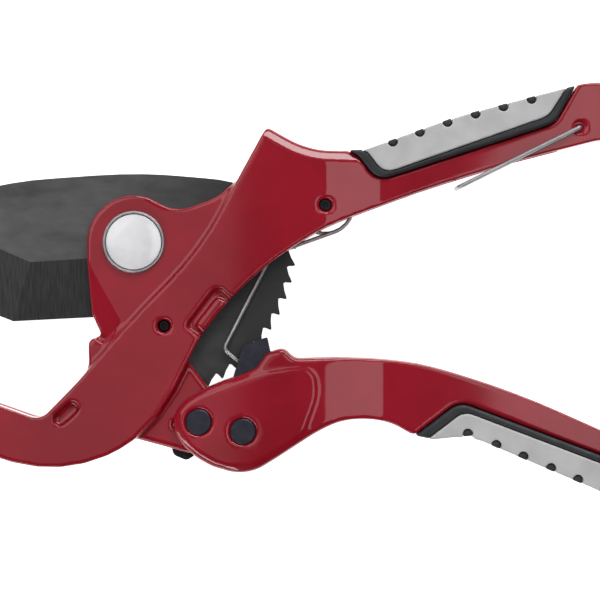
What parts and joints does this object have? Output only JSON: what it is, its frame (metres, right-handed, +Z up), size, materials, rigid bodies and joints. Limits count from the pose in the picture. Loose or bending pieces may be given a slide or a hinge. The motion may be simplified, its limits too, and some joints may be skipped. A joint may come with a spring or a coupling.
{
  "type": "pvc pipe cutter",
  "caption": "Ratcheting plastic pipe cutter lying flat: red cast frame and hook, curved black blade with rack, hinged lower handle, black and grey grips.",
  "frame": {"origin": "middle of the tool's footprint, on the surface it lies on", "axes": "+X from the hook towards the handle ends, +Y across the tool from the lower handle towards the upper one, +Z up out of the flat side that shows the badge"},
  "size_m": [0.3554, 0.2004, 0.024],
  "materials": {
    "red_paint": "gloss",
    "blade_steel": "satin",
    "blued_steel": "satin",
    "spring_steel": "polished",
    "zinc_steel": "satin",
    "bronze": "satin",
    "grey_grip": "satin",
    "black_grip": "satin",
    "black_plastic": "matte",
    "white_enamel": "gloss"
  },
  "bodies": {
    "frame": {"main_frame": "red_paint", "thrust_washer_front": "bronze", "thrust_washer_rear": "bronze", "pivot_bolt": "blued_steel", "pivot_washer": "zinc_steel", "pivot_nut": "zinc_steel", "badge_ring": "spring_steel", "badge_cap": "white_enamel", "guide_screw_front": "blued_steel", "guide_screw_rear": "blued_steel", "spring_screw": "blued_steel", "spring_screw_nut": "zinc_steel", "spring_bush": "black_plastic", "upper_grip_liner": "black_grip", "upper_grip_pad": "grey_grip", "hold_pawl_pin": "zinc_steel", "hold_pawl_spring": "spring_steel"},
    "blade": {"blade": "blade_steel", "blade_bush": "bronze"},
    "lower_handle": {"lower_handle": "red_paint", "lower_grip_liner": "black_grip", "lower_grip_pad": "grey_grip", "handle_pivot_pin": "blued_steel", "pawl_pin": "blued_steel", "handle_pivot_clip": "blued_steel", "pawl_pin_clip": "blued_steel"},
    "drive_pawl": {"drive_pawl": "blued_steel", "pawl_spacer": "zinc_steel"},
    "return_spring": {"return_spring": "spring_steel"},
    "hold_pawl": {"hold_pawl": "blade_steel"},
    "lock_bail": {"lock_bail": "spring_steel"}
  },
  "joints": [
    {"name": "blade_swing", "type": "hinge", "parent": "frame", "child": "blade", "pos_m": [-0.07647, 0.02738, 0.012], "axis": [0, 0, 1], "range_deg": [-32, 46]},
    {"name": "handle_squeeze", "type": "hinge", "parent": "frame", "child": "lower_handle", "pos_m": [-0.04667, -0.05472, 0.012], "axis": [0, 0, 1], "range_deg": [0, 33.5], "stiffness_Nm_per_rad": 0.6, "springref_deg": -20.05},
    {"name": "drive_pawl_turn", "type": "hinge", "parent": "lower_handle", "child": "drive_pawl", "pos_m": [-0.02647, -0.05902, 0.012], "axis": [0, 0, 1], "range_deg": [-43.5, 0]},
    {"name": "return_spring_turn", "type": "hinge", "parent": "frame", "child": "return_spring", "pos_m": [0.01113, 0.04418, 0.012], "axis": [0, 0, 1], "range_deg": [0, 5]},
    {"name": "hold_pawl_release", "type": "hinge", "parent": "frame", "child": "hold_pawl", "pos_m": [-0.05687, -0.05602, 0.012], "axis": [0, 0, 1], "range_deg": [-8, 0], "stiffness_Nm_per_rad": 0.02, "springref_deg": 11.46},
    {"name": "bail_swing", "type": "hinge", "parent": "frame", "child": "lock_bail", "pos_m": [0.12713, 0.07968, 0.012], "axis": [0, 0, 1], "range_deg": [0, 85]}
  ],
  "couplings": [
    {"joint": "drive_pawl_turn", "follows": "handle_squeeze", "ratio": -1.285},
    {"joint": "return_spring_turn", "follows": "handle_squeeze", "ratio": 0.12}
  ]
}
